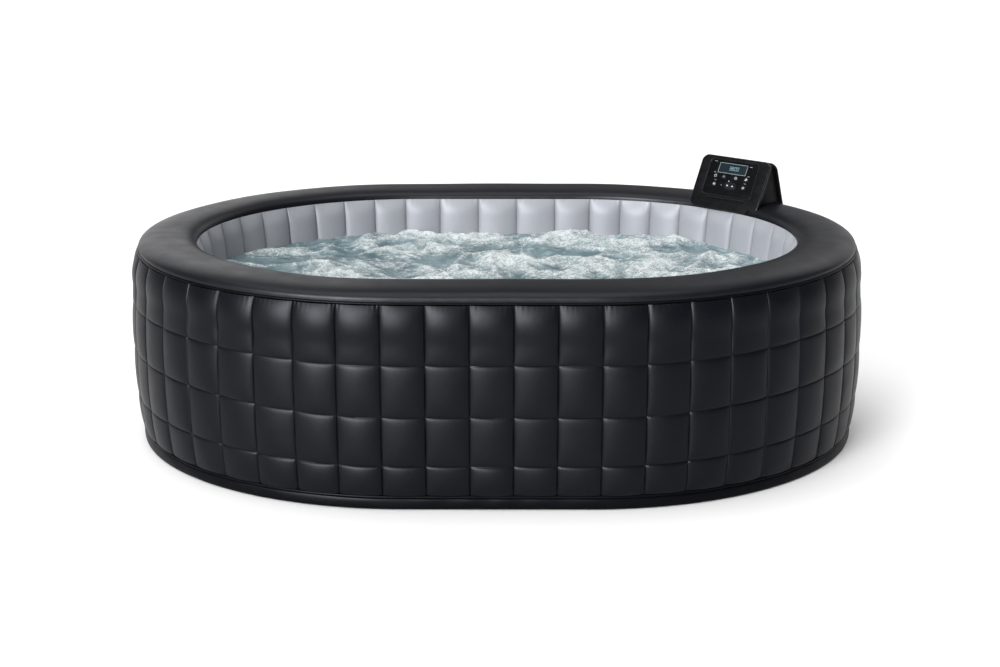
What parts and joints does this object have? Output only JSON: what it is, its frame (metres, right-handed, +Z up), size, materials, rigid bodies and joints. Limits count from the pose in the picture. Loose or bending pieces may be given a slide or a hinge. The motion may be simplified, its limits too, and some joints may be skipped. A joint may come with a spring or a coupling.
{
  "type": "inflatable hot tub",
  "caption": "Oval inflatable hot tub with quilted air walls, a ribbed light liner, and a wedge control console on the rim over a built-in pump, heater, blower and filter.",
  "frame": {"origin": "on the ground under the middle of the tub", "axes": "+X along the tub's length towards its right end as seen from the front, -Y out of the front, +Z up"},
  "size_m": [2.346, 1.623, 0.795],
  "materials": {
    "black_vinyl": "satin embossed PVC sheet",
    "grey_vinyl": "satin PVC sheet",
    "web_vinyl": "matt PVC sheet",
    "foam": "closed-cell foam",
    "ground_sheet": "smooth PVC sheet",
    "black_plastic": "fine moulded grain",
    "keypad_gloss": "smooth overlay",
    "screen_glass": "tinted window",
    "grey_plastic": "moulded",
    "white_plastic": "moulded",
    "steel": "brushed",
    "motor_paint": "matt paint",
    "rubber": "matt",
    "circuit_board": "solder mask",
    "filter_paper": "pleated polyester"
  },
  "bodies": {
    "tub": {"air_channel": "grey_vinyl", "air_pipe_lower": "rubber", "air_pipe_upper": "rubber", "base_welt": "black_vinyl", "blower_housing": "black_plastic", "blower_motor": "motor_paint", "button_board": "circuit_board", "check_valve": "white_plastic", "console_bezel": "black_plastic", "console_gasket": "rubber", "console_housing": "black_plastic", "console_rear_cover": "black_plastic", "control_board": "circuit_board", "control_box_shell": "black_plastic", "display_lens": "screen_glass", "display_module": "grey_plastic", "drain_pipe": "white_plastic", "filter_base": "grey_plastic", "floor_liner": "grey_vinyl", "floor_mat": "foam", "ground_sheet": "ground_sheet", "heater_tube": "steel", "heating_element": "steel", "inner_wall": "grey_vinyl", "keypad_lead": "rubber", "keypad_panel": "keypad_gloss", "outer_wall": "black_vinyl", "outer_welt": "black_vinyl", "outlet_nozzle": "grey_plastic", "panel_screw_1": "steel", "panel_screw_2": "steel", "panel_screw_3": "steel", "panel_screw_4": "steel", "power_inlet": "black_plastic", "pump_motor": "motor_paint", "pump_volute": "black_plastic", "return_pipe": "grey_plastic", "rim_ring": "black_vinyl", "service_panel": "black_plastic", "status_led": "white_plastic", "suction_pipe": "grey_plastic", "tie_webs": "web_vinyl", "valve_body": "black_plastic"},
    "filter_unit": {"filter_cover": "white_plastic", "filter_cartridge": "filter_paper"},
    "filter_ring": {"filter_lock_ring": "grey_plastic"},
    "drain_cap": {"drain_cap": "black_plastic"},
    "drain_plug": {"drain_plug": "rubber"},
    "valve_cap": {"valve_cap": "black_plastic"},
    "valve_plunger": {"valve_plunger": "white_plastic"},
    "pump_rotor": {"pump_impeller": "grey_plastic"},
    "blower_rotor": {"blower_fan": "grey_plastic"},
    "power_button": {"power_button": "keypad_gloss"},
    "lock_button": {"lock_button": "keypad_gloss"},
    "timer_button": {"timer_button": "keypad_gloss"},
    "bubble_button": {"bubble_button": "keypad_gloss"},
    "heater_button": {"heater_button": "keypad_gloss"},
    "temp_down_button": {"temp_down_button": "keypad_gloss"},
    "temp_up_button": {"temp_up_button": "keypad_gloss"},
    "filter_button": {"filter_button": "keypad_gloss"}
  },
  "joints": [
    {"name": "filter_pull", "type": "slide", "parent": "tub", "child": "filter_unit", "axis": [-0.6521, -0.7581, 0], "range_m": [0, 0.11]},
    {"name": "filter_ring_turn", "type": "hinge", "parent": "tub", "child": "filter_ring", "pos_m": [0.70961, 0.40633, 0.15], "axis": [0.6521, 0.7581, 0], "range_deg": [0, 30]},
    {"name": "drain_cap_turn", "type": "hinge", "parent": "tub", "child": "drain_cap", "pos_m": [-0.15, 0.778, 0.098], "axis": [0, 1, 0], "range_deg": [0, 540]},
    {"name": "drain_plug_pull", "type": "slide", "parent": "tub", "child": "drain_plug", "axis": [0, -1, 0], "range_m": [0, 0.05]},
    {"name": "valve_cap_swing", "type": "hinge", "parent": "tub", "child": "valve_cap", "pos_m": [0.12, 0.8115, 0.171], "axis": [-1, 0, 0], "range_deg": [0, 110]},
    {"name": "valve_plunger_press", "type": "slide", "parent": "tub", "child": "valve_plunger", "axis": [0, -1, 0], "range_m": [0, 0.004], "stiffness_N_per_m": 500},
    {"name": "pump_spin", "type": "hinge", "parent": "tub", "child": "pump_rotor", "pos_m": [0.78167, 0.4901, 0.15], "axis": [0.6521, 0.7581, 0], "continuous": true},
    {"name": "blower_spin", "type": "hinge", "parent": "tub", "child": "blower_rotor", "pos_m": [0.87045, 0.4599, 0.42], "axis": [0.6521, 0.7581, 0], "continuous": true},
    {"name": "power_button_press", "type": "slide", "parent": "tub", "child": "power_button", "axis": [0.578, 0.672, -0.463], "range_m": [0, 0.001], "stiffness_N_per_m": 600},
    {"name": "lock_button_press", "type": "slide", "parent": "tub", "child": "lock_button", "axis": [0.578, 0.672, -0.463], "range_m": [0, 0.001], "stiffness_N_per_m": 600},
    {"name": "timer_button_press", "type": "slide", "parent": "tub", "child": "timer_button", "axis": [0.578, 0.672, -0.463], "range_m": [0, 0.001], "stiffness_N_per_m": 600},
    {"name": "bubble_button_press", "type": "slide", "parent": "tub", "child": "bubble_button", "axis": [0.578, 0.672, -0.463], "range_m": [0, 0.001], "stiffness_N_per_m": 600},
    {"name": "heater_button_press", "type": "slide", "parent": "tub", "child": "heater_button", "axis": [0.578, 0.672, -0.463], "range_m": [0, 0.001], "stiffness_N_per_m": 600},
    {"name": "temp_down_button_press", "type": "slide", "parent": "tub", "child": "temp_down_button", "axis": [0.578, 0.672, -0.463], "range_m": [0, 0.001], "stiffness_N_per_m": 600},
    {"name": "temp_up_button_press", "type": "slide", "parent": "tub", "child": "temp_up_button", "axis": [0.578, 0.672, -0.463], "range_m": [0, 0.001], "stiffness_N_per_m": 600},
    {"name": "filter_button_press", "type": "slide", "parent": "tub", "child": "filter_button", "axis": [0.578, 0.672, -0.463], "range_m": [0, 0.001], "stiffness_N_per_m": 600}
  ]
}
